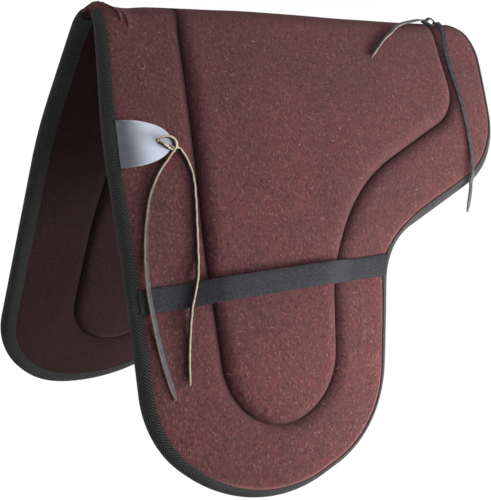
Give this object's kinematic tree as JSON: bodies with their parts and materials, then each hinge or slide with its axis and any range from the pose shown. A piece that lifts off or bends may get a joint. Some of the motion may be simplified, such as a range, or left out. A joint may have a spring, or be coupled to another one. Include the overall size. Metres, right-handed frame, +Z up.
{
  "type": "saddle pad",
  "caption": "Wool felt saddle pad: quilted flaps folded along a spine, taped edges, a girth strap across each flap, leather lace tabs and loose tie laces.",
  "frame": {"origin": "under the middle of the spine, where the pad lies on the horse's back, halfway between the spine's front and rear ends", "axes": "+X towards the tail along the spine, -Y towards the near (left) flap, +Z up"},
  "size_m": [0.6471, 0.4705, 0.541],
  "materials": {
    "maroon_wool_felt": "matt heathered wool felt",
    "maroon_felt_lining": "matt wool felt",
    "felt_filling": "matt felt",
    "charcoal_twill_tape": "matt twill tape",
    "charcoal_webbing": "matt webbing",
    "dark_leather": "smooth leather with a soft sheen",
    "dark_lace_leather": "lace leather with pale cut edges"
  },
  "bodies": {
    "spine": {"spine_tape": "charcoal_twill_tape"},
    "left_flap": {"left_outer_felt": "maroon_wool_felt", "left_lining_felt": "maroon_felt_lining", "left_rim_filler": "felt_filling", "left_centre_insert": "felt_filling", "left_edge_binding": "charcoal_twill_tape", "left_girth_strap": "charcoal_webbing", "left_lace_tab": "dark_leather", "left_lace_knot": "dark_lace_leather", "left_lace_front_end": "dark_lace_leather", "left_lace_rear_end": "dark_lace_leather", "rear_lace_knot": "dark_lace_leather", "rear_lace_short_end": "dark_lace_leather", "rear_lace_long_end": "dark_lace_leather"},
    "right_flap": {"right_outer_felt": "maroon_wool_felt", "right_lining_felt": "maroon_felt_lining", "right_rim_filler": "felt_filling", "right_centre_insert": "felt_filling", "right_edge_binding": "charcoal_twill_tape", "right_girth_strap": "charcoal_webbing", "right_lace_tab": "dark_leather", "right_lace_knot": "dark_lace_leather", "right_lace_front_end": "dark_lace_leather", "right_lace_rear_end": "dark_lace_leather"}
  },
  "joints": [
    {"name": "left_flap_fold", "type": "hinge", "parent": "spine", "child": "left_flap", "pos_m": [0, -0.00722, 0.00933], "axis": [-1, 0, 0], "range_deg": [-15, 70], "stiffness_Nm_per_rad": 2, "springref_deg": 33.69},
    {"name": "right_flap_fold", "type": "hinge", "parent": "spine", "child": "right_flap", "pos_m": [0, 0.00722, 0.00933], "axis": [1, 0, 0], "range_deg": [-15, 70], "stiffness_Nm_per_rad": 2, "springref_deg": 35.35}
  ]
}
